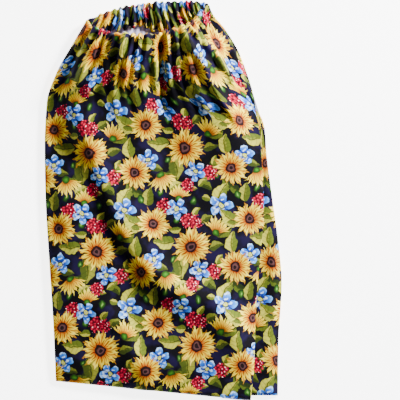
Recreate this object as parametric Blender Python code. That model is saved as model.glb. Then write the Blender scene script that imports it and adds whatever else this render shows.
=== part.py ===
"""Elastic-mouthed fabric tool bag, lying flat on its back panel with the mouth towards +Y.

Metres, +Z up. The origin is the middle of the bag's footprint, on the surface it lies on.
Each sewn layer is a thin closed plate. Layers that touch on the real bag are a small gap apart.
The front of the mouth turns up about a line across the front panel, to let a tool in.
"""

import bpy
import bmesh
import numpy as np

# Driving dimensions
CLOTH = 0.0012  # height of one layer of cloth, with its hems and air
GAP = 0.0004  # between layers that lie on each other
CASING_DEPTH = 0.026  # depth of the turned casing that holds the elastic
ELASTIC_WIDTH = 0.020
SEAM_WIDTH = 0.007  # turned seam allowances inside the bag
SEAM_HEIGHT = 0.0010
TUCK_WIDTH = 0.030  # how far the gusset is tucked in under the front panel
HEM_TAPER = 0.035  # the front panel comes down to the base seam over this length
HINGE_Y = 0.045  # the line that the front of the mouth turns up about
HINGE_Z = 0.0142
HINGE_GAP = 0.0008

# Heights of the undersides of the layers at the sides of the bag
TUCK_LEVEL = 0.0048
GUSSET_LEVEL = 0.0030
FRONT_LEFT_LEVEL = 0.0062
FRONT_RIGHT_LEVEL = 0.0078
FRONT_HEM_LEVEL = 0.0034
BODY_CROWN = 0.0060  # how much the front panel stands above its own edges
MOUTH_CROWN = 0.0330  # the same at the front of the mouth
FACING_LEVEL = 0.0054  # underside of the mouth's inner layer where it meets the back
ELASTIC_DROP = 0.0021  # from the underside of the front casing to that of the elastic
FACING_DROP = 0.0040  # and to that of the facing

# Outlines as (y, x), from the base to the mouth
LEFT_EDGE = [(-0.187, -0.111), (-0.130, -0.1135), (-0.060, -0.118), (0.000, -0.1215), (0.060, -0.1225),
             (0.100, -0.119), (0.130, -0.109), (0.155, -0.097), (0.175, -0.086), (0.1875, -0.079)]
FRONT_FOLD = [(-0.205, 0.0906), (-0.170, 0.094), (-0.110, 0.096), (-0.060, 0.100), (-0.014, 0.104),
              (0.045, 0.100), (0.095, 0.0945), (0.132, 0.0845)]
RIGHT_EDGE = [(-0.202, 0.1185), (-0.150, 0.1190), (-0.085, 0.1225), (-0.040, 0.1185), (0.000, 0.1128),
              (0.045, 0.1060), (0.095, 0.0960), (0.132, 0.0850), (0.155, 0.0765), (0.174, 0.061),
              (0.192, 0.0485), (0.205, 0.0450)]
# Height of the front panel's crown, as (y, share of the mouth's crown)
CROWN = [(-0.205, 0.182), (0.030, 0.182), (0.050, 0.200), (0.100, 0.520), (0.145, 0.870), (0.172, 0.985),
         (0.205, 1.000)]

HEM_MIDDLE = -0.1965  # the base line crosses the middle of the bag here
HEM_SLOPE = -0.0923
GUSSET_HEM = -0.2000
RIM_LEFT, RIM_SAG, RIM_RIGHT = 0.1823, 0.0197, 0.2009  # the front rim's ends and how far it dips between
BACK_RIM_LEFT, BACK_RIM_RISE = 0.1875, 0.0175

COLORS = {
    "print": (0.060, 0.055, 0.110, 0.80),
    "print_wrong_side": (0.620, 0.610, 0.600, 0.85),
    "elastic": (0.800, 0.790, 0.760, 0.75),
    "thread": (0.020, 0.020, 0.045, 0.60),
}


def curve(points, y):
    """A smooth curve through (y, value) points, read at y: cubic pieces with limited slopes."""
    ys = [p[0] for p in points]
    values = [p[1] for p in points]
    y = min(max(y, ys[0]), ys[-1])
    i = min(int(np.searchsorted(ys, y, side="right")) - 1, len(ys) - 2)
    slopes = [(values[k + 1] - values[k]) / (ys[k + 1] - ys[k]) for k in range(len(ys) - 1)]

    def tangent(k):
        if k == 0:
            return slopes[0]
        if k == len(ys) - 1:
            return slopes[-1]
        before, after = slopes[k - 1], slopes[k]
        return 0.0 if before * after <= 0 else 2 * before * after / (before + after)

    step = ys[i + 1] - ys[i]
    t = (y - ys[i]) / step
    start = values[i] * (1 + 2 * t) * (1 - t) ** 2 + step * tangent(i) * t * (1 - t) ** 2
    end = values[i + 1] * t * t * (3 - 2 * t) + step * tangent(i + 1) * t * t * (t - 1)
    return start + end


def smooth(t):
    t = min(max(t, 0.0), 1.0)
    return t * t * (3 - 2 * t)


def mix(a, b, t):
    return a + (b - a) * t


def right_edge_of_front(y):
    """The front panel ends at its fold over the gusset, and further up at the bag's outline."""
    return curve(FRONT_FOLD, y) if y < FRONT_FOLD[-1][0] else curve(RIGHT_EDGE, y) - 0.0005


def front_rim(u):
    ends = mix(RIM_LEFT, RIM_RIGHT, u)
    return ends - RIM_SAG * 4 * u * (1 - u)


def back_rim(u):
    return BACK_RIM_LEFT + BACK_RIM_RISE * (1 - (1 - u) ** 2.2)


def hem(x):
    return HEM_MIDDLE + HEM_SLOPE * x


def front_level(u, y):
    """Underside of the front layer, a share u of the way across it."""
    above_hem = smooth((y - HEM_MIDDLE) / HEM_TAPER)
    left = mix(FRONT_HEM_LEVEL, FRONT_LEFT_LEVEL, above_hem)
    side = mix(left, FRONT_RIGHT_LEVEL, smooth(u))
    near_mouth = smooth((y - HINGE_Y) / (RIM_LEFT - HINGE_Y))
    side = mix(side, FACING_LEVEL + FACING_DROP, near_mouth)
    power = mix(4.0, 2.2, near_mouth)
    crown = MOUTH_CROWN * curve(CROWN, y) * mix(0.25, 1.0, above_hem)
    return side + crown * (1 - abs(2 * u - 1) ** power)


def material(name):
    """A plain cloth material, made once and shared by the pieces of the same stuff."""
    if name in bpy.data.materials:
        return bpy.data.materials[name]
    made = bpy.data.materials.new(name)
    made.use_nodes = True
    shader = made.node_tree.nodes["Principled BSDF"]
    red, green, blue, roughness = COLORS[name]
    shader.inputs["Base Color"].default_value = (red, green, blue, 1.0)
    shader.inputs["Roughness"].default_value = roughness
    shader.inputs["Metallic"].default_value = 0.0
    made.diffuse_color = (red, green, blue, 1.0)
    return made


def plate(name, stuff, across, along, place, height=CLOTH, parent=None):
    """A closed plate: place(u, v) is a point of its underside, and it is height tall everywhere."""
    mesh = bpy.data.meshes.new(name)
    work = bmesh.new()
    layers = []
    for lift in (0.0, height):
        grid = []
        for i in range(across + 1):
            row = []
            for j in range(along + 1):
                x, y, z = place(i / across, j / along)
                row.append(work.verts.new((x, y, z + lift)))
            grid.append(row)
        layers.append(grid)
    low, high = layers
    for i in range(across):
        for j in range(along):
            work.faces.new((low[i][j], low[i][j + 1], low[i + 1][j + 1], low[i + 1][j]))
            work.faces.new((high[i][j], high[i + 1][j], high[i + 1][j + 1], high[i][j + 1]))
    for i in range(across):
        work.faces.new((low[i][0], low[i + 1][0], high[i + 1][0], high[i][0]))
        work.faces.new((low[i + 1][along], low[i][along], high[i][along], high[i + 1][along]))
    for j in range(along):
        work.faces.new((low[0][j + 1], low[0][j], high[0][j], high[0][j + 1]))
        work.faces.new((low[across][j], low[across][j + 1], high[across][j + 1], high[across][j]))
    bmesh.ops.recalc_face_normals(work, faces=work.faces)
    work.to_mesh(mesh)
    work.free()
    mesh.materials.append(material(stuff))
    mesh.shade_smooth()
    mesh.set_sharp_from_angle(angle=0.7)
    made = bpy.data.objects.new(name, mesh)
    bpy.context.collection.objects.link(made)
    if parent:
        made.parent = parent
        made.matrix_parent_inverse = parent.matrix_world.inverted()
    return made


def lower_front(u, v):
    """The front panel from the base to the turning line."""
    y = mix(HEM_MIDDLE, HINGE_Y - HINGE_GAP / 2, v)
    x = mix(curve(LEFT_EDGE, y), right_edge_of_front(y), u)
    return x, y + (hem(x) - HEM_MIDDLE) * (1 - smooth(v)), front_level(u, y)


def gathered_front(u, v):
    """The front panel from the turning line to the gathers under the casing."""
    top = front_rim(u) - CASING_DEPTH - GAP
    y = mix(HINGE_Y + HINGE_GAP / 2, top, v)
    return mix(curve(LEFT_EDGE, y), right_edge_of_front(y), u), y, front_level(u, y)


def front_band(inset, depth, drop):
    """A band along the front of the mouth: inset from the rim, and drop below the front layer."""

    def place(u, v):
        y = front_rim(u) - inset - depth * (1 - v)
        x = mix(curve(LEFT_EDGE, y), right_edge_of_front(y), u)
        return x, y, front_level(u, y) - drop

    return place


def back_band(inset, depth, level):
    """A band along the back of the mouth, flat at one level."""

    def place(u, v):
        y = back_rim(u) - inset - depth * (1 - v)
        return mix(curve(LEFT_EDGE, y), curve(RIGHT_EDGE, y), u), y, level

    return place


def back_panel(u, v):
    """The back panel, flat on the surface, from the base to the back casing."""
    top = back_rim(u) - CASING_DEPTH - GAP
    y = mix(HEM_MIDDLE, top, v)
    x = mix(curve(LEFT_EDGE, y), curve(RIGHT_EDGE, y), u)
    base = min(hem(x), GUSSET_HEM) if x > FRONT_FOLD[0][1] else hem(x)
    return x, y + (max(base, -0.2035) - HEM_MIDDLE) * (1 - smooth(v)), 0.0


def side_strip(edge, inner, outer, start, end, level):
    """A strip that follows an outline between two distances inside it."""

    def place(u, v):
        y = mix(start, end, v)
        return curve(edge, y) + mix(inner, outer, u), y, level

    return place


def gusset(u, v):
    """The gusset's outer layer, from its fold under the front panel to the bag's right edge."""
    y = mix(GUSSET_HEM, 0.125, v)
    left = curve(FRONT_FOLD, y) - TUCK_WIDTH
    return mix(left, curve(RIGHT_EDGE, y) - 0.0004, u), y, GUSSET_LEVEL


def tuck(u, v):
    """The gusset's inner layer, tucked between its outer layer and the front panel."""
    y = mix(GUSSET_HEM, HINGE_Y, v)
    fold = curve(FRONT_FOLD, y)
    return mix(fold - TUCK_WIDTH + 0.002, fold - 0.001, u), y, TUCK_LEVEL


def base_seam(u, v):
    """The turned allowance that joins the front and back panels along the base."""
    x = mix(-0.1025, 0.058, u)
    y = hem(x) + mix(0.0015, 0.0015 + SEAM_WIDTH, v)
    return x, y, CLOTH + GAP


def build():
    for old in list(bpy.data.objects):
        bpy.data.objects.remove(old)

    turn = bpy.data.objects.new("mouth_turning_line", None)
    turn.location = (0.0, HINGE_Y, HINGE_Z)
    bpy.context.collection.objects.link(turn)
    bpy.context.view_layer.update()

    # Body of the bag
    plate("back_panel", "print", 20, 26, back_panel)
    plate("front_panel", "print", 20, 20, lower_front)
    plate("right_gusset", "print", 6, 20, gusset)
    plate("right_gusset_tuck", "print", 4, 16, tuck)
    plate("left_side_seam", "print_wrong_side", 2, 24,
          side_strip(LEFT_EDGE, 0.0006, SEAM_WIDTH, -0.150, 0.155, CLOTH + GAP), 3 * SEAM_HEIGHT)
    plate("right_front_seam", "print_wrong_side", 2, 18,
          side_strip(FRONT_FOLD, -SEAM_WIDTH, -0.0006, -0.190, HINGE_Y, TUCK_LEVEL + CLOTH + GAP), SEAM_HEIGHT)
    plate("right_back_seam", "print_wrong_side", 2, 24,
          side_strip(RIGHT_EDGE, -SEAM_WIDTH, -0.0006, -0.190, 0.125, CLOTH + GAP), SEAM_HEIGHT)
    plate("base_seam", "print_wrong_side", 14, 1, base_seam, 1.4 * SEAM_HEIGHT)

    # Back of the mouth: outer layer, elastic, and the facing turned in over it
    elastic_inset = (CASING_DEPTH - ELASTIC_WIDTH) / 2
    elastic_level = CLOTH + GAP
    facing_level = 0.0037
    plate("back_casing", "print", 20, 2, back_band(0.0, CASING_DEPTH, 0.0))
    plate("elastic_back", "elastic", 20, 1, back_band(elastic_inset, ELASTIC_WIDTH, elastic_level), 0.0010)
    plate("elastic_join", "elastic", 2, 1,
          lambda u, v: (mix(0.000, 0.018, u), mix(0.184, 0.199, v), elastic_level + 0.0013), 0.0005)
    plate("back_casing_facing", "print", 20, 2, back_band(0.0003, CASING_DEPTH - 0.0012, facing_level), 0.0008)
    plate("casing_stitching_back", "thread", 20, 1, back_band(CASING_DEPTH - 0.0030, 0.0010, 0.0048), 0.0003)

    # Front of the mouth, which turns up
    plate("gathered_front_panel", "print", 20, 14, gathered_front, parent=turn)
    plate("front_casing", "print", 20, 3, front_band(0.0, CASING_DEPTH, 0.0), parent=turn)
    plate("elastic_front", "elastic", 20, 2, front_band(elastic_inset, ELASTIC_WIDTH, ELASTIC_DROP), 0.0010, parent=turn)
    plate("front_casing_facing", "print", 20, 3,
          front_band(0.0003, CASING_DEPTH - 0.0012, FACING_DROP), parent=turn)
    plate("casing_stitching_front", "thread", 20, 1,
          front_band(CASING_DEPTH - 0.0030, 0.0010, -(CLOTH + GAP)), 0.0004, parent=turn)


build()
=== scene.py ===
"""Looks for the elastic-mouthed fabric tool bag: printed cotton, gathered on an elastic at the mouth.

Metres in space, millimetres in the print. X is to the right, Y towards the mouth, Z up, and the bag
lies on its back. The cloth is one tube, drawn as a ring of columns that run from the base to the mouth.
Two shells are cut from it: the front, with the tuck under its right fold, and the back, with the gusset.
"""

import math

import bpy
import numpy as np
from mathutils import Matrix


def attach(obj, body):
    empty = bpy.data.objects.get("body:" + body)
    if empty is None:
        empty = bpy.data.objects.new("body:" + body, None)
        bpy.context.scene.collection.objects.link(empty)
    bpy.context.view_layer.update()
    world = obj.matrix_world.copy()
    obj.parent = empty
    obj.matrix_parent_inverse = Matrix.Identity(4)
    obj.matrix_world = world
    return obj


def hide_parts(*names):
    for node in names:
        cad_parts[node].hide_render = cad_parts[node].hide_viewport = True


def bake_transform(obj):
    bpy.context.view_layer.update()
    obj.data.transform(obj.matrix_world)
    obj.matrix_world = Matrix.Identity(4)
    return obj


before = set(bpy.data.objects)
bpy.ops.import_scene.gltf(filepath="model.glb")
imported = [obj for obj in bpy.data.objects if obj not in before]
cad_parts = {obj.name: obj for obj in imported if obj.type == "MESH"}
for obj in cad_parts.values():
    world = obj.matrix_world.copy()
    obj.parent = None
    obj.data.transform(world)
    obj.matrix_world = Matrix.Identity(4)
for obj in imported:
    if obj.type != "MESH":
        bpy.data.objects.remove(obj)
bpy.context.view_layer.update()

# ---------------------------------------------------------------- sizes

THICKNESS = 0.00055  # one layer of quilting-weight cotton
LYING = 0.0006  # middle of the back layer above the surface it lies on
CASING_DEPTH = 0.026
HINGE_Y = 0.045  # the line that the front of the mouth turns up about
UNDERLAP = 0.005  # the left seam lies this far in under the bag

# The base: its line's y at x = 0, its slope, the gusset's own base line, and how its edge is turned
HEM_MIDDLE, HEM_SLOPE = -0.1980, -0.0990
GUSSET_HEM = -0.2018
GUSSET_HEM_FROM = 0.038  # x from which the back ends on the gusset's base line
HEM_TAPER = 0.035  # the front comes down to the base seam over this length
HEM_ROLL = 0.0045  # the layers close to the base seam over this length
OVER_BASE = 0.030  # loose cloth starts to sway over this length

# The gusset and its tuck
TUCK_LEVEL, GUSSET_LEVEL = 0.0050, 0.0031  # heights of the tuck and of the gusset's outer layer
TUCK_WIDTH = 0.030
TUCK_LEFT_OVER = 0.004  # width of the tuck where it runs out, near the mouth
TUCK_NARROWS, TUCK_RUN_OUT = -0.010, 0.095  # y from which it narrows, and over what length
GUSSET_RISE, GUSSET_STEEPEST = 0.0026, 0.12  # how far it puffs up, at most this share of its width
GUSSET_CLIMB, GUSSET_FALL = 0.7, 0.005  # share of the width over which it rises, and metres in which it falls
NARROWEST_GUSSET = 0.001
GUSSET_OPENS, GUSSET_OPENING = 0.070, 0.105  # y from which its cloth joins the rest, and over what length
TUCK_CLOTH = 0.10  # share of the tuck's cloth that is drawn along while it is closed
SECTION_CHANGES, SECTION_CHANGE = 0.072, 0.050  # y from which only two layers are left, and over what length

# Heights of the front layer: at its left edge by the base, its two edges on the body, and both at the mouth
HEM_LEVEL, LEFT_LEVEL, RIGHT_LEVEL, MOUTH_LEVEL = 0.0034, 0.0062, 0.0078, 0.0094
BODY_FLATNESS, MOUTH_FLATNESS = 4.0, 2.2  # a higher power gives a flatter top with rounder edges
CROWN_AT_HEM = 0.25  # share of the crown that is left at the base

# Rims: y at the left end, y at the right end or rise to it, and the bow between them
FRONT_RIM_LEFT, FRONT_RIM_RIGHT, FRONT_RIM_SAG = 0.1823, 0.2000, 0.0215
BACK_RIM_LEFT, BACK_RIM_RISE, BACK_RIM_BOW = 0.1909, 0.0136, 0.0012
BACK_RIM_ROUNDNESS = 2.6
UNDERLAP_END = 0.1850
RIM_ROLL = 0.0024  # how far the turned edge of the casing stands above the last row of cloth
NEAR_BASE, NEAR_RIM = -0.2, 0.185  # heights at which the tube is measured to place its two ends
BASE_SOFTENING, RIM_SOFTENING = 6, 30  # how many times those ends are drawn towards their neighbours
SECTION_SOFTENING = 3  # and the points of a section

# The casing's inner layer, seen inside the back of the mouth
FACING_TURN, FACING_TURN_CORNER = 0.0034, 0.0026  # from the outer layer to it, in the middle and at corners
FACING_PUFF = 0.0044  # each gather pushes it out this far, times these shares:
RIM_PUFF, BELLY_PUFF = 0.6, 0.4  # at the rim, and more by this in the belly below it
BELLY_QUICKER = 1.15  # the belly ends a little above the raw edge
EDGE_PUFF, EDGE_FROM = 0.55, 0.8  # less by this at the raw edge, from this share of the depth on
EDGE_TURN = 0.72  # share of the turn that is left at the raw edge, which the stitches hold
CORNER = 0.09  # share of the mouth's width that a corner takes
FACING_LEFT, FACING_RIGHT = 0.0205, 0.0272  # how deep it hangs, left and right
FACING_DEEPENS, FACING_DEEPENING = 0.38, 0.12  # where that changes, and over what share of the way across
FACING_RAGGED = 0.0060  # how much the gathers pull its edge up and down
FRONT_FACING = 0.0250
SCALLOP_MIDDLE, SCALLOP_FINE = 0.0012, 0.0016  # how far the gathers push the rim up and down
SCALLOP_DEPTH = 0.009  # how far below the rim that can be seen

# Outlines as (y, x), from the base to the mouth
LEFT_EDGE = [(-0.187, -0.111), (-0.130, -0.1135), (-0.060, -0.118), (0.000, -0.1215), (0.060, -0.1225),
             (0.100, -0.1204), (0.130, -0.1102), (0.155, -0.097), (0.175, -0.086), (0.1875, -0.079)]
FRONT_FOLD = [(-0.205, 0.0906), (-0.170, 0.094), (-0.110, 0.096), (-0.060, 0.100), (-0.014, 0.104),
              (0.045, 0.102), (0.095, 0.0970), (0.132, 0.0862)]
RIGHT_EDGE = [(-0.202, 0.1185), (-0.150, 0.1190), (-0.085, 0.1225), (-0.040, 0.1185), (0.000, 0.1130),
              (0.045, 0.1072), (0.075, 0.1048), (0.100, 0.0982), (0.132, 0.0867), (0.155, 0.0775),
              (0.174, 0.0655), (0.192, 0.0510), (0.205, 0.0465)]
EDGE_TO_FOLD = 0.0005  # above the gusset, the front's fold lies this far inside the right edge

# How far the front stands above its own edges, at the mouth, and the share of that at each y
MOUTH_CROWN = 0.0330
CROWN = [(-0.205, 0.182), (0.030, 0.182), (0.050, 0.200), (0.100, 0.520), (0.145, 0.870), (0.172, 0.985),
         (0.205, 1.000)]

# Gathers: wavelength along the cloth, and how high they stand (distance below the rim, height)
FINE_GATHER, MIDDLE_GATHER, WIDE_GATHER = 0.0140, 0.034, 0.071
FINE_HEIGHT = [(0.0, 0.0030), (0.006, 0.0046), (0.013, 0.0050), (0.021, 0.0040), (0.026, 0.0022),
               (0.031, 0.0030), (0.042, 0.0026), (0.062, 0.0012), (0.095, 0.0)]
MIDDLE_HEIGHT = [(0.0, 0.0004), (0.026, 0.0012), (0.036, 0.0030), (0.060, 0.0028), (0.090, 0.0010),
                 (0.130, 0.0)]
WIDE_HEIGHT = [(0.0, 0.0), (0.030, 0.0006), (0.055, 0.0028), (0.090, 0.0028), (0.130, 0.0012), (0.190, 0.0)]
FINE_LEVEL, MIDDLE_LEVEL, WIDE_LEVEL = 0.30, 0.45, 0.50  # share of each wave below the cloth's level
BACK_FINE, BACK_MIDDLE = 0.55, 0.3  # the back's gathers are lower, as shares of the front's
LEAN, LEAN_WAVE = 0.05, 22.0  # how much the gathers lean to a side on their way down, and radians a metre

# Folds of the front: points (x, y) in mm, height in mm, and width in mm to their left and right sides
FOLD_STARTS, FOLD_ENDS = 0.18, 0.30  # shares of a fold's length over which it rises and dies away
FOLDS = [
    ([(-57, 158), (-61, 141), (-71, 126), (-79, 116), (-84, 100)], 3.6, 3.6, 8.0),
    ([(-38, 176), (-37, 152), (-36, 132), (-37, 112)], 3.8, 7.5, 3.2),
    ([(-3, 172), (-2, 150), (-1, 128), (1, 98), (3, 78)], -8.0, 3.2, 4.4),
    ([(-10, 168), (-9, 140), (-7, 104)], 2.6, 5.0, 3.6),
    ([(12, 180), (19, 168), (32, 148), (40, 134), (59, 100), (68, 89), (80, 70)], 6.4, 2.6, 7.0),
    ([(26, 182), (31, 169), (48, 150), (64, 130), (70, 120), (82, 104)], 5.6, 2.4, 6.0),
    ([(-66, 168), (-80, 142), (-96, 108)], 2.4, 3.0, 6.0),
    ([(12, 150), (22, 124), (34, 96), (40, 74)], -2.6, 4.0, 5.0),
    ([(8, 176), (36, 146), (60, 112), (76, 66), (84, 20)], 6.5, 30.0, 14.0),
    ([(-88, 104), (-82, 78), (-67, 36), (-46, -22), (-22, -66), (6, -96)], 8.0, 11.0, 26.0),
    ([(-34, -56), (8, -88), (46, -106), (72, -134), (86, -190)], 9.5, 20.0, 15.0),
    ([(-68, -96), (-44, -132), (-24, -168), (-10, -200)], 5.0, 13.0, 11.0),
    ([(-110, 20), (-100, -24), (-84, -70)], 2.0, 9.0, 16.0),
]


# ---------------------------------------------------------------- small sums

def curve(points, y):
    """A smooth curve through (y, value) points, read at an array of y: cubic pieces with limited slopes."""
    ys = np.array([p[0] for p in points])
    values = np.array([p[1] for p in points])
    steps = np.diff(ys)
    slopes = np.diff(values) / steps
    before, after = slopes[:-1], slopes[1:]
    together = before + after
    inner = np.where(before * after <= 0, 0.0, 2 * before * after / np.where(together == 0, 1.0, together))
    tangents = np.concatenate([[slopes[0]], inner, [slopes[-1]]])
    y = np.clip(y, ys[0], ys[-1])
    i = np.clip(np.searchsorted(ys, y, side="right") - 1, 0, len(ys) - 2)
    t = (y - ys[i]) / steps[i]
    start = values[i] * (1 + 2 * t) * (1 - t) ** 2 + steps[i] * tangents[i] * t * (1 - t) ** 2
    end = values[i + 1] * t * t * (3 - 2 * t) + steps[i] * tangents[i + 1] * t * t * (t - 1)
    return start + end


def smooth(t):
    t = np.clip(t, 0.0, 1.0)
    return t * t * (3 - 2 * t)


def mix(a, b, t):
    return a + (b - a) * t


def right_edge_of_front(y):
    return np.where(y < FRONT_FOLD[-1][0], curve(FRONT_FOLD, y), curve(RIGHT_EDGE, y) - EDGE_TO_FOLD)


def front_rim(u):
    """y of the front's rim, a share u of the way across it."""
    return mix(FRONT_RIM_LEFT, FRONT_RIM_RIGHT, u) - FRONT_RIM_SAG * 4 * u * (1 - u) - RIM_ROLL


def back_rim(u):
    rise = BACK_RIM_RISE * (1 - (1 - u) ** BACK_RIM_ROUNDNESS)
    return BACK_RIM_LEFT + rise + BACK_RIM_BOW * 4 * u * (1 - u) - RIM_ROLL


def hem(x):
    return HEM_MIDDLE + HEM_SLOPE * x


def front_level(u, y):
    """Height of the front layer, a share u of the way across it."""
    above_hem = smooth((y - HEM_MIDDLE) / HEM_TAPER)
    side = mix(mix(HEM_LEVEL, LEFT_LEVEL, above_hem), RIGHT_LEVEL, smooth(u))
    near_mouth = smooth((y - HINGE_Y) / (FRONT_RIM_LEFT - HINGE_Y))
    side = mix(side, MOUTH_LEVEL, near_mouth)
    power = mix(BODY_FLATNESS, MOUTH_FLATNESS, near_mouth)
    crown = MOUTH_CROWN * curve(CROWN, y) * mix(CROWN_AT_HEM, 1.0, above_hem)
    return THICKNESS + side + crown * (1 - np.abs(2 * u - 1) ** power)


def soften(ring, times, axis):
    """Each value drawn towards its neighbours, going round the ring."""
    for _ in range(times):
        ring = 0.25 * np.roll(ring, 1, axis) + 0.5 * ring + 0.25 * np.roll(ring, -1, axis)
    return ring


# ---------------------------------------------------------------- the ring of columns

# Each part of the ring: its name and its number of columns
PARTS = [("underlap", 4), ("left_fold", 12), ("front", 206), ("front_fold", 12), ("tuck", 16),
         ("tuck_turn", 8), ("gusset", 26), ("right_fold", 12), ("back", 150)]
part_of = np.concatenate([[name] * count for name, count in PARTS])
share_of = np.concatenate([(np.arange(count) + 0.5) / count for _, count in PARTS])
COLUMNS = len(part_of)


def column_in(name, place):
    """The number in the ring of one of a part's columns, counted from the part's own first one."""
    return int(np.flatnonzero(part_of == name)[place])


cut = column_in("tuck_turn", 4)  # where the two shells meet, in the middle of the turn inside the tuck
is_front = np.arange(COLUMNS) < cut


def lower_section(y):
    """The tube's section below the mouth, with the gusset folded in. y has one value for each column."""
    left, fold, right = curve(LEFT_EDGE, y), curve(FRONT_FOLD, y), curve(RIGHT_EDGE, y)
    depth = mix(TUCK_WIDTH, TUCK_LEFT_OVER, smooth((y - TUCK_NARROWS) / TUCK_RUN_OUT))
    inner = fold - depth
    top_left, top_right = front_level(0.0, y), front_level(1.0, y)
    left_radius = (top_left - LYING) / 2
    fold_radius = (top_right - TUCK_LEVEL) / 2
    turn_radius = (TUCK_LEVEL - GUSSET_LEVEL) / 2
    right_radius = (GUSSET_LEVEL - LYING) / 2
    swing = math.pi * (0.5 - share_of)  # from upwards to downwards over a fold
    x, z = np.zeros_like(y), np.zeros_like(y)
    here = np.broadcast_to(part_of, y.shape)
    share = np.broadcast_to(share_of, y.shape)
    swing = np.broadcast_to(swing, y.shape)

    def lay(name, across, height):
        x[here == name] = across[here == name]
        z[here == name] = height[here == name]

    flat = np.zeros_like(y)
    lay("underlap", left + left_radius + UNDERLAP * (1 - share), flat + LYING)
    lay("left_fold", left + left_radius * (1 - np.cos(swing)), LYING + left_radius * (1 - np.sin(swing)))
    lay("front", mix(left + left_radius, fold - fold_radius, share), front_level(share, y))
    swing_in, swing_up = 1 - np.cos(swing), 1 + np.sin(swing)
    lay("front_fold", fold - fold_radius * swing_in, TUCK_LEVEL + fold_radius * swing_up)
    lay("tuck", mix(fold - fold_radius, inner + turn_radius, share), flat + TUCK_LEVEL)
    lay("tuck_turn", inner + turn_radius * swing_in, GUSSET_LEVEL + turn_radius * swing_up)
    shown = np.maximum(right - fold, NARROWEST_GUSSET)
    gusset_x = mix(inner + turn_radius, right - right_radius, share)
    puff = smooth((gusset_x - fold) / (GUSSET_CLIMB * shown))
    puff = puff * smooth((right - right_radius - gusset_x) / GUSSET_FALL)
    lay("gusset", gusset_x, GUSSET_LEVEL + np.minimum(GUSSET_RISE, GUSSET_STEEPEST * shown) * puff)
    lay("right_fold", right - right_radius * swing_in, LYING + right_radius * swing_up)
    lay("back", mix(right - right_radius, left + left_radius + UNDERLAP, share), flat + LYING)
    return x, z


def lengths_along(x, z):
    """Length of cloth from each column to the next one, going round."""
    return np.hypot(np.roll(x, -1, -1) - x, np.roll(z, -1, -1) - z)


# Cloth held by each column, measured where the bag is at its widest
level_x, level_z = lower_section(np.zeros(COLUMNS))
cloth_step = lengths_along(level_x, level_z)
in_tuck = np.isin(part_of, ["front_fold", "tuck", "tuck_turn", "gusset", "right_fold"])


def mouth_section(y):
    """The section with the gusset opened out: front and back only, the cloth of each drawn along evenly."""
    left, right = curve(LEFT_EDGE, y), right_edge_of_front(y)
    top_left, top_right = front_level(0.0, y), front_level(1.0, y)
    left_radius = (top_left - LYING) / 2
    right_radius = (top_right - LYING) / 2
    opened = smooth((y - GUSSET_OPENS) / GUSSET_OPENING)  # how much of the tuck's cloth has joined the rest
    drawn = cloth_step * np.where(in_tuck, mix(TUCK_CLOTH, 1.0, opened), 1.0)
    run = np.cumsum(drawn, -1) - drawn
    first = column_in("front", 0)
    over = (run - run[..., first:first + 1]) / (run[..., cut:cut + 1] - run[..., first:first + 1])
    under = (run - run[..., cut:cut + 1]) / (run[..., -1:] - run[..., cut:cut + 1])
    quarter = math.pi * right_radius / 2
    top_width = right - left - left_radius - right_radius
    along = over * (top_width + quarter)
    bend = np.clip((along - top_width) / right_radius, 0.0, math.pi / 2)
    u = np.clip(along / top_width, 0.0, 1.0)
    x_over = left + left_radius + np.minimum(along, top_width) + right_radius * np.sin(bend)
    z_over = front_level(u, y) - right_radius * (1 - np.cos(bend))
    low_width = top_width - UNDERLAP
    along = under * (quarter + low_width)
    bend = np.clip(along / right_radius, 0.0, math.pi / 2)
    x_under = right - right_radius * (1 - np.cos(bend)) - np.maximum(along - quarter, 0.0)
    z_under = LYING + right_radius * (1 - np.sin(bend))
    is_over = np.broadcast_to(is_front, y.shape)
    x = np.where(is_over, x_over, x_under)
    z = np.where(is_over, z_over, z_under)
    return x, z, np.where(is_over, u, np.clip(1 - (along - quarter) / low_width, 0.0, 1.0))


def section(y):
    """The tube's section at any height, and how far across the mouth each column lies."""
    x, z = lower_section(y)
    x_mouth, z_mouth, u = mouth_section(y)
    at_left = np.broadcast_to(np.isin(part_of, ["underlap", "left_fold"]), y.shape)
    opened = np.where(at_left, 0.0, smooth((y - SECTION_CHANGES) / SECTION_CHANGE))
    return mix(x, x_mouth, opened), mix(z, z_mouth, opened), np.where(at_left, 0.0, u)


def ring_ends():
    """Where each column starts at the base and ends at the rim."""
    x, _ = lower_section(np.full(COLUMNS, NEAR_BASE))
    start = hem(x)
    start = np.where(np.isin(part_of, ["gusset", "right_fold"]), GUSSET_HEM, start)
    start = np.where((part_of == "back") & (x > GUSSET_HEM_FROM), GUSSET_HEM, start)
    _, _, u = mouth_section(np.full(COLUMNS, NEAR_RIM))
    end = np.where(is_front, front_rim(u), back_rim(u))
    end = np.where(np.isin(part_of, ["underlap", "left_fold"]), UNDERLAP_END, end)
    return soften(start, BASE_SOFTENING, 0), soften(end, RIM_SOFTENING, 0)


start_y, rim_y = ring_ends()

# Rows: the base's turned edge, the body, the casing up to the rim
HEM_ROWS, BODY_ROWS, CASING_ROWS = 6, 104, 13
TOWARDS_MOUTH = 0.86  # below 1, so the body's rows lie closer together towards the mouth
hem_rows = (1 - np.cos(np.linspace(0, math.pi / 2, HEM_ROWS + 1)[:-1])) * HEM_ROLL
body_rows = np.linspace(0.0, 1.0, BODY_ROWS) ** TOWARDS_MOUTH
casing_rows = np.linspace(0.0, 1.0, CASING_ROWS + 1)[1:]


def row_heights():
    """y of every vertex of the tube, row by row."""
    bottom = start_y + HEM_ROLL
    stitch_y = rim_y - CASING_DEPTH
    rows = [start_y + d for d in hem_rows]
    rows += [mix(bottom, stitch_y, t) for t in body_rows]
    rows += [mix(stitch_y, rim_y, t) for t in casing_rows]
    return np.array(rows)


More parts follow.
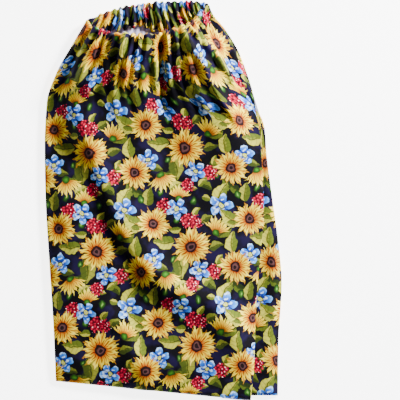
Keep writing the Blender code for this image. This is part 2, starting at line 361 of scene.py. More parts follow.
tube_y = row_heights()
tube_x, tube_z, tube_u = section(tube_y)
RIM = len(tube_y) - 1  # the last row

# Cloth coordinates: across, the length of cloth round the ring, and along, the length from the base
calm_y = np.minimum(tube_y, 0.0)
calm_x, calm_z = lower_section(calm_y)
calm_step = lengths_along(calm_x, calm_z)
across = np.cumsum(calm_step, 1) - calm_step
anchor = column_in("front", 103)  # the front's middle column, from which the print is measured
across = across - across[:, anchor:anchor + 1] + calm_x[:, anchor:anchor + 1]
along = tube_y.copy()

# The layers come together at the base, where they are sewn: each one's height there
order_at_base = {"front": 0.0024, "front_fold": 0.0023, "left_fold": 0.0017, "underlap": 0.0011,
                 "tuck": 0.0019, "tuck_turn": 0.0017, "gusset": 0.0015, "right_fold": 0.0013, "back": 0.0010}
sewn_level = soften(np.array([order_at_base[p] for p in part_of]), 8, 0)
from_base = np.clip((tube_y - start_y) / HEM_ROLL, 0.0, 1.0)
tube_z = mix(sewn_level, tube_z, np.sqrt(1 - (1 - from_base) ** 2))

tube_x = soften(tube_x, SECTION_SOFTENING, 1)
tube_z = soften(tube_z, SECTION_SOFTENING, 1)


def normals_of(points):
    """Outward directions on a grid of points, rows by columns, closed round the ring."""
    round_it = np.roll(points, -1, 1) - np.roll(points, 1, 1)
    up = np.gradient(points, axis=0)
    out = np.cross(round_it, up)
    return out / np.maximum(np.linalg.norm(out, axis=2, keepdims=True), 1e-12)


def ripple(distance, wavelength, seed):
    """Rounded ridges and sharper valleys along the cloth, from 0 to 1. Slower and quicker waves, as shares of
    the wavelength, make them unevenly spaced and high."""
    wander = 0.55 * np.sin(distance / (wavelength * 1.27) + 1.7 * seed)
    wander = wander + 0.45 * np.sin(distance / (wavelength * 0.61) + 2.9 * seed)
    wave = 0.5 + 0.5 * np.cos(2 * math.pi * distance / wavelength + 1.5 * wander + seed)
    uneven = 0.78 + 0.22 * np.sin(distance / (wavelength * 0.83) + 4.1 * seed)
    return uneven * wave ** 0.8


below_rim = rim_y - tube_y
slant = across + LEAN * np.sin(below_rim * LEAN_WAVE) * below_rim
fine = ripple(slant, FINE_GATHER, 1.0)
middle = ripple(slant, MIDDLE_GATHER, 2.3)
wide = ripple(slant, WIDE_GATHER, 0.6)


def distance_to_fold(points, x, y):
    """Signed distance from a fold's line in mm, positive on its right, and the share of the way along it."""
    best = np.full(x.shape, 1e9)
    side = np.zeros(x.shape)
    along_it = np.zeros(x.shape)
    total = sum(math.dist(a, b) for a, b in zip(points, points[1:]))
    gone = 0.0
    for (ax, ay), (bx, by) in zip(points, points[1:]):
        length = math.dist((ax, ay), (bx, by))
        dx, dy = (bx - ax) / length, (by - ay) / length
        t = np.clip((x - ax) * dx + (y - ay) * dy, 0.0, length)
        away = np.hypot(x - ax - t * dx, y - ay - t * dy)
        nearer = away < best
        cross = (y - ay) * dx - (x - ax) * dy
        side = np.where(nearer, np.sign(cross) * np.where(dy < 0, 1, -1), side)
        along_it = np.where(nearer, (gone + t) / total, along_it)
        best = np.where(nearer, away, best)
        gone += length
    return best * side, along_it


def front_folds(x, y):
    """Height of the folds named in FOLDS, in metres."""
    raised = np.zeros(x.shape)
    for points, height, left_width, right_width in FOLDS:
        away, share = distance_to_fold(points, x * 1000, y * 1000)
        width = np.where(away > 0, right_width, left_width)
        fade = smooth(share / FOLD_STARTS) * smooth((1 - share) / FOLD_ENDS)
        raised += height * 0.001 * fade * np.exp(-(away / width) ** 2)
    return raised


def sway(x, y):
    """Slow unevenness of cloth that lies loosely, in metres: waves of 40 to 270 mm, under 1.5 mm high."""
    wave = np.sin(x * 61 + 1.9 * np.sin(y * 23 + 0.5)) * np.cos(y * 37 + 1.3 * np.sin(x * 31))
    return 0.0009 * wave + 0.0004 * np.sin(x * 128 + y * 74 + 1.1)


tube = np.stack([tube_x, tube_y, tube_z], axis=2)
outward = normals_of(tube)

# The front: gathers stand out from it, its own folds and sway lift it. At its sides they die away.
on_front = soften((part_of == "front") * 1.0, 10, 0)
mouth_front = soften(is_front * 1.0, 6, 0) * (part_of != "underlap")
fine_height = curve(FINE_HEIGHT, below_rim)
middle_height = curve(MIDDLE_HEIGHT, below_rim)
gathers = fine_height * (fine - FINE_LEVEL) + middle_height * (middle - MIDDLE_LEVEL)
gathers = gathers + curve(WIDE_HEIGHT, below_rim) * (wide - WIDE_LEVEL)
over_base = smooth((tube_y - start_y) / OVER_BASE)
loose = front_folds(tube_x, tube_y) + sway(tube_x, tube_y) * over_base
lift_front = gathers * mouth_front + loose * on_front
# The back lies on a surface, so its gathers can only stand inwards.
back_gathers = -BACK_FINE * fine_height * (1 - fine) - BACK_MIDDLE * middle_height * middle
lift = mix(back_gathers, lift_front, np.maximum(mouth_front, on_front))
outer = tube + outward * lift[..., None]
outer[..., 2] = np.maximum(outer[..., 2], 0.5 * LYING)  # never through the surface

# A fold takes up cloth, so the print is narrower on its slopes when seen from above
climb = np.diff(loose * on_front, axis=1, prepend=0.0)
taken_up = np.cumsum(np.hypot(calm_step, climb) - calm_step, 1)
across = across + taken_up - taken_up[:, anchor:anchor + 1]


def valley_floor(values, reach):
    """The lowest value within a few columns of each one, softened: what is under the gathers rests on it."""
    lowest = np.min([np.roll(values, shift, 1) for shift in range(-reach, reach + 1)], axis=0)
    return soften(lowest, 12, 1)


BED_REACH = 9  # columns, enough to reach the valleys on both sides of a fine gather
bed = valley_floor(lift, BED_REACH)


def bed_below(distance):
    """The bed of the casing's gathers at a distance below the rim."""
    return bed[RIM - int(round(CASING_ROWS * min(distance / CASING_DEPTH, 1.0)))]


def under_gathers(below, inset):
    """A line round the mouth at a distance below the rim, this far inside the bed of the casing's gathers."""
    y = rim_y - below
    x, z, _ = section(y[None])
    x, z = soften(x[0], SECTION_SOFTENING, 0), soften(z[0], SECTION_SOFTENING, 0)
    level = np.stack([x, y, z], axis=1)
    return level + outward[RIM] * (bed_below(below.mean()) - inset)[:, None]


TURN_ROWS, FACING_ROWS = 7, 15
ROLL_REACH, ROLL_SHARE = 0.0008, 0.75  # how far the roll stands past the last row, more where it is wider


def turned_in(depth):
    """The casing's turn over the rim and its inner layer, which ends depth below the rim."""
    corner = smooth(np.minimum(tube_u[RIM], 1 - tube_u[RIM]) / CORNER)
    puff = FACING_PUFF * fine[RIM] * corner
    turn = mix(FACING_TURN_CORNER, FACING_TURN, corner)
    outside = lift[RIM]
    inside = bed_below(0.0) - (turn + RIM_PUFF * puff)
    half = (outside - inside) / 2
    rows, lengths = [], []
    for angle in np.linspace(0, math.pi, TURN_ROWS + 2)[1:-1]:
        offset = (outside + inside) / 2 + half * math.cos(angle)
        reach = (ROLL_REACH + ROLL_SHARE * half) * math.sin(angle)
        rows.append(tube[RIM] + outward[RIM] * offset[:, None] + np.array([0, 1, 0]) * reach[:, None])
        lengths.append(half * angle)
    for share in np.linspace(0.0, 1.0, FACING_ROWS):
        belly = RIM_PUFF + BELLY_PUFF * math.sin(math.pi * min(share * BELLY_QUICKER, 1.0))
        belly = belly - EDGE_PUFF * smooth((share - EDGE_FROM) / (1 - EDGE_FROM))
        inset = turn * mix(1.0, EDGE_TURN, smooth(share)) + puff * belly
        rows.append(under_gathers(share * depth, inset))
        lengths.append(half * math.pi + share * depth)
    return np.array(rows), np.array([np.broadcast_to(d, (COLUMNS,)) for d in lengths])


facing_depth = mix(FACING_LEFT, FACING_RIGHT, smooth((tube_u[RIM] - FACING_DEEPENS) / FACING_DEEPENING))
facing_depth = facing_depth + FACING_RAGGED * (fine[RIM] - 0.5)
facing_depth = soften(np.where(is_front, FRONT_FACING, facing_depth), 2, 0)
facing, facing_along = turned_in(facing_depth)
cloth_points = np.concatenate([outer, facing])
cloth_across = np.concatenate([across, np.broadcast_to(across[RIM], facing_along.shape)])
cloth_along = np.concatenate([along, along[RIM] + facing_along])
# The rim is scalloped: each gather pushes it up a little
from_rim = np.concatenate([below_rim, facing_along])
scallop = SCALLOP_MIDDLE * (middle[RIM] - 0.5) + SCALLOP_FINE * (fine[RIM] - 0.5)
cloth_points[..., 1] += scallop * smooth(1 - from_rim / SCALLOP_DEPTH)
cloth_points[..., 2] = np.maximum(cloth_points[..., 2], LYING - THICKNESS / 4)  # it lies on the surface


# ---------------------------------------------------------------- meshes

def new_object(name, data):
    made = bpy.data.objects.new(name, data)
    bpy.context.scene.collection.objects.link(made)
    return made


def mesh_object(name, vertices, faces, materials, smooth_faces=True):
    mesh = bpy.data.meshes.new(name)
    mesh.from_pydata([tuple(v) for v in vertices], [], faces)
    for material in materials:
        mesh.materials.append(material)
    if smooth_faces:
        mesh.shade_smooth()
    mesh.update()
    return new_object(name, mesh)


def thicken(piece, thickness):
    """Gives a sheet its thickness, on its inner side."""
    layer = piece.modifiers.new("thickness", "SOLIDIFY")
    layer.thickness = thickness
    layer.offset = -1.0
    return layer


def strip_faces(rows, columns, closed=False):
    """Faces of a grid numbered row by row. They face outwards where the columns run clockwise, seen from
    the mouth."""
    wide_count = columns if closed else columns - 1
    return [(r * columns + c, r * columns + (c + 1) % columns,
             (r + 1) * columns + (c + 1) % columns, (r + 1) * columns + c)
            for r in range(rows - 1) for c in range(wide_count)]


def cloth_shell(name, columns):
    """A shell cut from the tube along some of its columns, with its cloth coordinates and its thickness."""
    points = cloth_points[:, columns].reshape(-1, 3)
    faces = strip_faces(len(cloth_points), len(columns))
    shell = mesh_object(name, points, faces, [print_side, wrong_side])
    uv = shell.data.uv_layers.new(name="cloth")
    flat = np.stack([cloth_across[:, columns], cloth_along[:, columns]], axis=2).reshape(-1, 2)
    corners = np.zeros(len(shell.data.loops), dtype=np.int32)
    shell.data.loops.foreach_get("vertex_index", corners)
    uv.data.foreach_set("uv", flat[corners].astype(np.float32).ravel())
    layer = thicken(shell, THICKNESS)
    layer.material_offset = 1
    layer.material_offset_rim = 1
    return shell


# ---------------------------------------------------------------- nodes

MATH = "ShaderNodeMath"
VECTOR = "ShaderNodeVectorMath"
RANGE = "ShaderNodeMapRange"
MIX = "ShaderNodeMix"
RAMP = "ShaderNodeValToRGB"
NOISE = "ShaderNodeTexNoise"
OVER = dict(data_type="RGBA", out=2)  # lays one colour over another where the mask is 1
SOFT = dict(interpolation_type="SMOOTHSTEP")  # from 0 to 1 where no other two numbers follow
FLAT = dict(noise_dimensions="2D")  # a pattern in the plane of the cloth
TIMES, TIMES_PLUS = dict(operation="MULTIPLY"), dict(operation="MULTIPLY_ADD")
MINUS = dict(operation="SUBTRACT")


def linear(code):
    """An sRGB hex colour as linear red, green and blue, with full alpha."""
    parts = [int(code[i:i + 2], 16) / 255 for i in (1, 3, 5)]
    return [c / 12.92 if c <= 0.04045 else ((c + 0.055) / 1.055) ** 2.4 for c in parts] + [1.0]


def add(tree, kind, *values, out=0, stops=None, **settings):
    """Adds a node, gives it its settings, sets or links its inputs in order, and returns one output."""
    made = tree.nodes.new(kind)
    named = {key: settings.pop(key) for key in list(settings) if key[0].isupper()}
    for key, value in settings.items():
        setattr(made, key, value)
    if stops:
        ramp = made.color_ramp.elements
        while len(ramp) < len(stops):
            ramp.new(1.0)
        for element, (position, code) in zip(ramp, stops):
            element.position = position
            element.color = linear(code)
    sockets = [s for s in made.inputs if s.enabled]
    pairs = list(zip(sockets, values))
    pairs += [(made.inputs[key.replace("_", " ")], value) for key, value in named.items()]
    for socket, value in pairs:
        if isinstance(value, bpy.types.NodeSocket):
            tree.links.new(value, socket)
        elif isinstance(value, str) and socket.type == "RGBA":
            socket.default_value = linear(value)
        else:
            socket.default_value = value
    return made.outputs[out]


def group(name, inputs, outputs, kind="ShaderNodeTree"):
    """An empty node group with its sockets: returns the tree, its inputs by name, and its output node."""
    tree = bpy.data.node_groups.new(name, kind)
    for label, socket_kind, value in inputs:
        socket = tree.interface.new_socket(label, in_out="INPUT", socket_type=socket_kind)
        if value is not None:
            socket.default_value = value
    for label, socket_kind in outputs:
        tree.interface.new_socket(label, in_out="OUTPUT", socket_type=socket_kind)
    given = tree.nodes.new("NodeGroupInput")
    return tree, {s.name: s for s in given.outputs if s.name}, tree.nodes.new("NodeGroupOutput")


VEC, NUM, COL = "NodeSocketVector", "NodeSocketFloat", "NodeSocketColor"
REPEAT = (100.0, 102.0)  # mm, the print's repeat across and along the cloth


def nearest_motif():
    """Keeps the motif that a point of the cloth is nearest to, out of those placed one after another.
    Own is the point in the motif's own measure, where 1 is its size."""
    tree, given, result = group("nearest_motif", [
        ("Cloth", VEC, None), ("Centre", VEC, None), ("Turn", NUM, 0.0), ("Size", NUM, 20.0),
        ("Middle", VEC, None), ("Variant", NUM, 0.0), ("Own", VEC, None), ("Kept variant", NUM, 0.0)],
        [("Own", VEC), ("Kept variant", NUM)])
    half = (REPEAT[0] / 2, REPEAT[1] / 2, 1.0)
    away = add(tree, VECTOR, given["Cloth"], given["Centre"], **MINUS)
    near = add(tree, VECTOR, away, half, (-half[0], -half[1], -1.0), operation="WRAP")
    turned = add(tree, "ShaderNodeVectorRotate", near, (0, 0, 0), rotation_type="Z_AXIS", Angle=given["Turn"])
    shrink = add(tree, MATH, 1.0, given["Size"], operation="DIVIDE")
    own = add(tree, VECTOR, turned, operation="SCALE", Scale=shrink)
    own = add(tree, VECTOR, own, given["Middle"], **MINUS)
    reach = add(tree, VECTOR, own, operation="LENGTH", out=1)
    kept_reach = add(tree, VECTOR, given["Own"], operation="LENGTH", out=1)
    nearer = add(tree, MATH, reach, kept_reach, operation="LESS_THAN")
    tree.links.new(add(tree, MIX, nearer, given["Own"], own, data_type="VECTOR", out=1), result.inputs[0])
    tree.links.new(add(tree, MIX, nearer, given["Kept variant"], given["Variant"]), result.inputs[1])
    return tree


MOTIF_INPUTS = [("Own", VEC, None), ("Variant", NUM, 0.0), ("Under", COL, None)]
MOTIF_OUTPUTS = [("Color", COL)]


def finish_motif(tree, given, result, color, mask):
    """Lays a motif's colour over what is under it."""
    tree.links.new(add(tree, MIX, mask, given["Under"], color, **OVER), result.inputs[0])
    return tree


def polar(tree, own, count, phase):
    """Distance from the centre, which petal a point is in, and how far it is off that petal's middle line."""
    parts = add(tree, "ShaderNodeSeparateXYZ", own).node
    radius = add(tree, VECTOR, own, operation="LENGTH", out=1)
    angle = add(tree, MATH, parts.outputs[1], parts.outputs[0], operation="ARCTAN2")
    turns = add(tree, MATH, angle, count / (2 * math.pi), phase, **TIMES_PLUS)
    petal = add(tree, MATH, turns, operation="FLOOR")
    off = add(tree, MATH, add(tree, MATH, turns, petal, **MINUS), 0.5, **MINUS)
    return radius, petal, add(tree, MATH, off, operation="ABSOLUTE")


def petal_ring(tree, own, variant, count, phase, shortest, longest, wide):
    """A ring of ragged, pointed petals. Returns the distance from the centre, the share of the petal's
    length, how far a point is off its middle line, how far inside its edge, and a number for each petal."""
    radius, petal, off = polar(tree, own, count, phase)
    wrapped = add(tree, MATH, petal, float(count), 0.0, operation="WRAP")
    pick = add(tree, MATH, wrapped, variant, operation="ADD")
    chance = add(tree, "ShaderNodeTexWhiteNoise", noise_dimensions="1D", W=pick)
    length = add(tree, MATH, chance, longest - shortest, shortest, **TIMES_PLUS)
    notch = add(tree, MATH, add(tree, MATH, off, 22.0, **TIMES), operation="COSINE")
    length = add(tree, MATH, notch, 0.05, length, **TIMES_PLUS)
    share = add(tree, MATH, radius, length, operation="DIVIDE")
    taper = add(tree, RANGE, share, 0.55, 1.0)
    taper = add(tree, MATH, taper, 1.6, operation="POWER")
    width = add(tree, MATH, taper, -wide, wide, **TIMES_PLUS)
    edge = add(tree, MATH, width, off, **MINUS)
    return radius, share, off, edge, chance


def sunflower():
    """Two rings of ragged petals round a brown eye. The lower ring is in the shade of the upper one."""
    tree, given, result = group("sunflower", MOTIF_INPUTS, MOTIF_OUTPUTS)
    own, variant = given["Own"], given["Variant"]
    radius, _, off, edge, _ = petal_ring(tree, own, variant, 15, 0.5, 0.84, 1.04, 0.50)
    under = add(tree, RAMP, radius, stops=[
        (0.24, "#541a06"), (0.45, "#a85c0a"), (0.70, "#d6a404"), (1.0, "#f0d030")])
    vein = add(tree, RANGE, off, 0.16, 0.03, 0.0, 0.8, **SOFT)
    under = add(tree, MIX, vein, under, "#7c220a", **OVER)
    under_mask = add(tree, RANGE, edge, 0.0, 0.06, **SOFT)
    radius, share, off, edge, chance = petal_ring(tree, own, variant, 14, 0.0, 0.74, 0.98, 0.49)
    body = add(tree, RAMP, radius, stops=[
        (0.24, "#8e2a0c"), (0.33, "#b8640a"), (0.44, "#d6a600"), (0.62, "#eed214"), (1.0, "#f8ee74")])
    rim = add(tree, RANGE, edge, 0.0, 0.12, **SOFT)
    body = add(tree, MIX, rim, "#a46a0a", body, **OVER)
    vein = add(tree, RANGE, off, 0.20, 0.07, **SOFT)
    reach = add(tree, RANGE, share, 0.80, 0.54, **SOFT)
    vein = add(tree, MATH, vein, reach, **TIMES)
    body = add(tree, MIX, vein, body, "#781202", **OVER)
    glow = add(tree, MATH, chance, 0.24, 0.84, **TIMES_PLUS)
    body = add(tree, "ShaderNodeHueSaturation", Color=body, Value=glow)
    mask = add(tree, RANGE, edge, 0.0, 0.05, **SOFT)
    color = add(tree, MIX, mask, under, body, **OVER)
    eye = add(tree, RAMP, radius, stops=[
        (0.0, "#2a1619"), (0.05, "#150a0c"), (0.085, "#1a0f11"), (0.115, "#563636"), (0.160, "#482828"),
        (0.195, "#1c0d0c"), (0.25, "#140908"), (0.31, "#240c06")])
    speck = add(tree, NOISE, own, Scale=22.0, Detail=1.0, **FLAT)
    eye_edge = add(tree, MATH, speck, 0.08, 0.235, **TIMES_PLUS)
    inside_eye = add(tree, MATH, eye_edge, radius, **MINUS)
    eye_mask = add(tree, RANGE, inside_eye, -0.012, 0.02, **SOFT)
    color = add(tree, MIX, eye_mask, color, eye, **OVER)
    mask = add(tree, MATH, mask, under_mask, operation="MAXIMUM")
    mask = add(tree, MATH, mask, eye_mask, operation="MAXIMUM")
    return finish_motif(tree, given, result, color, mask)


def blue_flower():
    """Five broad petals, pale at the tips, round a green and cream eye."""
    tree, given, result = group("blue_flower", MOTIF_INPUTS, MOTIF_OUTPUTS)
    own = given["Own"]
    radius, _, off = polar(tree, own, 5, 0.0)
    lobe = add(tree, MATH, add(tree, MATH, off, 2.0, **TIMES), 2.2, operation="POWER")
    reach = add(tree, MATH, lobe, -0.56, 1.0, **TIMES_PLUS)
    edge = add(tree, MATH, reach, radius, **MINUS)
    body = add(tree, RAMP, radius, stops=[
        (0.20, "#121650"), (0.34, "#142a80"), (0.54, "#1650b8"), (0.78, "#3480dc"), (1.0, "#78bcf4")])
    blotch = add(tree, NOISE, own, Scale=2.6, Detail=1.0, **FLAT)
    # Pale blotches, dark where two petals meet, a line down each petal's middle, and a darker outline
    for measure, start, end, strength, code in (
            (blotch, 0.49, 0.64, 0.85, "#c4e2fc"), (off, 0.38, 0.5, 0.9, "#14246c"),
            (off, 0.06, 0.0, 0.5, "#1a48a8"), (edge, 0.07, 0.0, 0.6, "#1e50b0")):
        mark = add(tree, RANGE, measure, start, end, 0.0, strength, **SOFT)
        body = add(tree, MIX, mark, body, code, **OVER)
    eye = add(tree, RAMP, radius, stops=[
        (0.0, "#fcfadc"), (0.05, "#26300e"), (0.09, "#d4d060"), (0.15, "#c8c454"), (0.19, "#3a4c14"),
        (0.23, "#0c1c10")])
    body = add(tree, MIX, add(tree, RANGE, radius, 0.26, 0.22, **SOFT), body, eye, **OVER)
    return finish_motif(tree, given, result, body, add(tree, RANGE, edge, 0.0, 0.05, **SOFT))


LEAF_MIDDLE = (0.5, 0.0, 0.0)  # a leaf runs from its stalk at 0 out to 1 along X


def leaf():
    """A pointed leaf with a dark rib and one lit half. A variant near 1 makes it dark."""
    tree, given, result = group("leaf", MOTIF_INPUTS, MOTIF_OUTPUTS)
    own = add(tree, VECTOR, given["Own"], LEAF_MIDDLE, operation="ADD")
    parts = add(tree, "ShaderNodeSeparateXYZ", own).node
    along_leaf = add(tree, MATH, parts.outputs[0], 0.0, operation="MAXIMUM")
    along_leaf = add(tree, MATH, along_leaf, 1.0, operation="MINIMUM")
    bow = add(tree, MATH, add(tree, MATH, along_leaf, math.pi, **TIMES), operation="SINE")
    across_leaf = add(tree, MATH, bow, -0.09, parts.outputs[1], **TIMES_PLUS)
    swell = add(tree, MATH, along_leaf, 0.70, operation="POWER")
    swell = add(tree, MATH, swell, math.pi, **TIMES)
    width = add(tree, MATH, add(tree, MATH, swell, operation="SINE"), 0.30, **TIMES)
    off = add(tree, MATH, across_leaf, operation="ABSOLUTE")
    edge = add(tree, MATH, width, off, **MINUS)
    light = add(tree, MIX, given["Variant"], "#c2bc40", "#34480f", **OVER)
    dark = add(tree, MIX, given["Variant"], "#5e6a1c", "#101c0a", **OVER)
    paint = add(tree, NOISE, own, Scale=3.4, Detail=2.0, **FLAT)
    lit = add(tree, MATH, across_leaf, 0.17, **MINUS)
    lit = add(tree, MATH, paint, 0.34, lit, **TIMES_PLUS)
    body = add(tree, MIX, add(tree, RANGE, lit, -0.09, 0.09, **SOFT), dark, light, **OVER)
    wave = add(tree, MATH, off, -16.0, **TIMES)
    wave = add(tree, MATH, along_leaf, 34.0, wave, **TIMES_PLUS)
    rib = add(tree, RANGE, add(tree, MATH, wave, operation="SINE"), 0.5, 1.0, 0.0, 0.32, **SOFT)
    middle_rib = add(tree, RANGE, off, 0.030, 0.008, 0.0, 0.8, **SOFT)
    outline = add(tree, RANGE, edge, 0.04, 0.0, 0.0, 0.6, **SOFT)
    for line, code in ((rib, "#26340e"), (middle_rib, "#162008"), (outline, "#161e0a")):
        body = add(tree, MIX, line, body, code, **OVER)
    return finish_motif(tree, given, result, body, add(tree, RANGE, edge, 0.0, 0.03, **SOFT))


def berries():
    """A cluster of round red berries, some with a white glint."""
    tree, given, result = group("berries", MOTIF_INPUTS, MOTIF_OUTPUTS)
    own = given["Own"]
    cells = add(tree, "ShaderNodeTexVoronoi", own, voronoi_dimensions="2D", Scale=2.7, Randomness=0.70).node
    spot = cells.outputs["Distance"]
    ball = add(tree, RAMP, spot, stops=[
        (0.0, "#e43c5c"), (0.16, "#bc0a32"), (0.36, "#9c0426"), (0.52, "#500a18"), (0.66, "#16040a")])
    pick = add(tree, "ShaderNodeSeparateColor", cells.outputs["Color"])
    glint = add(tree, RANGE, spot, 0.17, 0.10, **SOFT)
    picked = add(tree, MATH, pick, 0.58, operation="GREATER_THAN")
    glint = add(tree, MATH, glint, picked, **TIMES)
    body = add(tree, MIX, glint, ball, "#fff0ee", **OVER)
    radius = add(tree, VECTOR, own, operation="LENGTH", out=1)
    ragged = add(tree, MATH, spot, 0.55, radius, **TIMES_PLUS)
    return finish_motif(tree, given, result, body, add(tree, RANGE, ragged, 1.12, 1.04, **SOFT))


def side_blossom():
    """A half-open yellow flower seen from the side: petals fan out from a green cup along X."""
    tree, given, result = group("side_blossom", MOTIF_INPUTS, MOTIF_OUTPUTS)
    own = add(tree, VECTOR, given["Own"], LEAF_MIDDLE, operation="ADD")
    radius, share, off, edge, _ = petal_ring(tree, own, given["Variant"], 23, 0.5, 0.84, 1.06, 0.56)
    parts = add(tree, "ShaderNodeSeparateXYZ", own).node
    swing = add(tree, MATH, parts.outputs[1], parts.outputs[0], operation="ARCTAN2")
    fan = add(tree, RANGE, add(tree, MATH, swing, operation="ABSOLUTE"), 1.12, 1.04, **SOFT)
    body = add(tree, RAMP, radius, stops=[
        (0.16, "#3c2c08"), (0.32, "#a86408"), (0.48, "#d8a808"), (0.70, "#eed01c"), (1.0, "#f8ea68")])
    body = add(tree, MIX, add(tree, RANGE, edge, 0.0, 0.14, **SOFT), "#8a4c08", body, **OVER)
    vein = add(tree, RANGE, off, 0.15, 0.04, 0.0, 0.95, **SOFT)
    reach = add(tree, RANGE, share, 0.84, 0.52, **SOFT)
    vein = add(tree, MATH, vein, reach, **TIMES)
    body = add(tree, MIX, vein, body, "#7c1604", **OVER)
    petals = add(tree, RANGE, edge, 0.0, 0.06, **SOFT)
    petals = add(tree, MATH, petals, fan, **TIMES)
    cup = add(tree, VECTOR, own, (0.08, 0.0, 0.0), **MINUS)
    cup = add(tree, VECTOR, cup, (1.0, 0.85, 1.0), **TIMES)
    cup = add(tree, VECTOR, cup, operation="LENGTH", out=1)
    green = add(tree, RAMP, cup, stops=[(0.0, "#3f7c1c"), (0.12, "#1f4610"), (0.20, "#081608")])
    cup_mask = add(tree, RANGE, cup, 0.20, 0.16, **SOFT)
    body = add(tree, MIX, cup_mask, body, green, **OVER)
    return finish_motif(tree, given, result, body, add(tree, MATH, petals, cup_mask, operation="MAXIMUM"))


def bud():
    """A round green bud with dark seams."""
    tree, given, result = group("bud", MOTIF_INPUTS, MOTIF_OUTPUTS)
    long = add(tree, VECTOR, given["Own"], (0.85, 1.15, 1.0), **TIMES)
    radius = add(tree, VECTOR, long, operation="LENGTH", out=1)
    parts = add(tree, "ShaderNodeSeparateXYZ", long).node
    seam = add(tree, MATH, add(tree, MATH, parts.outputs[1], 9.0, **TIMES), operation="COSINE")
    body = add(tree, RAMP, radius, stops=[
        (0.0, "#78a848"), (0.35, "#3c6a24"), (0.70, "#14300e"), (1.0, "#080e06")])
    body = add(tree, MIX, add(tree, RANGE, seam, 0.2, -0.8, 0.0, 0.5, **SOFT), body, "#123408", **OVER)
    return finish_motif(tree, given, result, body, add(tree, RANGE, radius, 1.0, 0.86, **SOFT))


# Where each motif lies in one repeat: x and y in mm, size in mm, turn in degrees, and its variant.
# A kind further down the list lies on top of those above it.
MIDDLE = (0.0, 0.0, 0.0)
LAYOUT = [
    (leaf, LEAF_MIDDLE, [
        (-20, -8, 18, 205, 0.9), (8, 42, 18, 30, 0.95), (70, -36, 17, 240, 0.9), (84, 30, 18, 120, 0.9),
        (-8, 30, 15, 150, 0.95), (0.9, -44.8, 14, -10, 0.8), (49.3, -1.2, 15, 27, 0.8),
        (57.8, -28, 16, 12, 0.75), (30, 56, 15, 200, 0.9), (52, -62, 14, 320, 0.9)]),
    (leaf, LEAF_MIDDLE, [
        (22.0, -19.5, 24, 174, 0.3), (-18.7, -33.9, 23, 87, 0.1), (-33.4, 17.5, 26, 57, 0.2),
        (-4.1, 18.6, 21, 77, 0.45), (-45.9, 43.3, 11, 5, 0.2), (65.7, -44.2, 11, 60, 0.2),
        (41.7, 5.8, 12, 50, 0.2), (28.6, -6.7, 13, 175, 0.3), (19.4, 33.9, 16, 28, 0.25),
        (49.2, 36.4, 12, 35, 0.2), (39.8, 33.5, 9, 0, 0.3), (51.2, 25.0, 11, -20, 0.4),
        (24.7, -32.8, 28, 274, 0.6), (73, -6, 12, 70, 0.3)]),
    (bud, MIDDLE, [
        (43.0, 21.6, 4.2, 80, 0), (-11.2, 25.6, 4.2, 100, 0), (9.5, 31.8, 3.8, 60, 0),
        (24.0, 3.4, 3.8, 90, 0), (19.8, -37.2, 3.2, 70, 0), (68, 47, 3.8, 40, 0)]),
    (side_blossom, LEAF_MIDDLE, [
        (63.8, -13.7, 19, 70, 1.0), (27.6, 24.0, 16, 82, 2.0), (10.5, -50.5, 19.5, 284, 3.0)]),
    (berries, MIDDLE, [
        (12.1, 17.8, 8.8, 0, 0), (36.0, 1.5, 8.6, 0, 0), (43.5, 0.0, 7.4, 0, 0), (62.0, -52, 8.2, 0, 0),
        (38.0, -64, 7.6, 0, 0)]),
    (blue_flower, MIDDLE, [
        (25.1, 14.5, 11.2, 20, 0), (-0.5, -36.1, 11.2, 50, 0), (47.5, -50, 11.0, 5, 0),
        (71, 15.5, 13.0, 35, 0)]),
    (leaf, LEAF_MIDDLE, [(-12.0, -3.3, 25, 139, 0.12), (-14.0, -5.0, 13, 158, 0.35)]),
    (sunflower, MIDDLE, [
        (0, 0, 18.8, 10, 1.0), (38.6, -25.6, 21.8, 30, 17.0), (-15.5, -48.5, 19.2, 55, 33.0)]),
]
PRINT_CENTRE = (-10.3, -24.7, 0.0)  # mm, one sunflower's eye on the front of the bag
PRINT_TURN = math.radians(-2.9)  # the cloth was cut a little off its grain
DRAWN = 3.2  # mm, how far the outlines wander, as painted ones do
FAR_OFF = (9.0, 9.0, 0.0)  # further from every motif than its own size
GROUND, GROUND_CLOUD = "#050409", "#130d2c"  # near black, clouded with deep violet


def sunflower_print(tree, mm):
    """The printed pattern, from cloth coordinates in mm: its colour."""
    centred = add(tree, VECTOR, mm, PRINT_CENTRE, **MINUS)
    straight = add(tree, "ShaderNodeVectorRotate", centred, MIDDLE, rotation_type="Z_AXIS", Angle=PRINT_TURN)
    wobble = add(tree, NOISE, straight, Scale=0.16, Detail=1.0, out=1, **FLAT)
    wobble = add(tree, VECTOR, wobble, (0.5, 0.5, 0.5), **MINUS)
    drawn = add(tree, VECTOR, wobble, (DRAWN, DRAWN, 0.0), straight, **TIMES_PLUS)
    cloud = add(tree, NOISE, mm, Scale=0.06, Detail=2.0, **FLAT)
    cloud = add(tree, RANGE, cloud, 0.42, 0.68, **SOFT)
    color = add(tree, MIX, cloud, GROUND, GROUND_CLOUD, **OVER)
    nearest = nearest_motif()
    for make, middle_point, places in LAYOUT:
        own, variant_kept = FAR_OFF, 0.0
        for x, y, size, turn, variant in places:
            own = add(tree, "ShaderNodeGroup", node_tree=nearest, Cloth=drawn, Centre=(x, y, 0.0), Size=size,
                      Turn=-math.radians(turn), Middle=middle_point, Variant=variant, Own=own,
                      Kept_variant=variant_kept)
            variant_kept = own.node.outputs[1]
        kind = bpy.data.node_groups.get(make.__name__) or make()
        color = add(tree, "ShaderNodeGroup", node_tree=kind, Own=own, Variant=variant_kept, Under=color)
    return color


WEAVE_PITCH = 0.9  # mm. Real threads are 0.3 mm apart, too fine to show, so they are drawn coarser
THREAD_HEIGHT = 0.0002  # metres
COTTON_SHINE, FIBRE_SHINE = 0.08, 0.1  # specular levels: low, as light sinks in between fibres


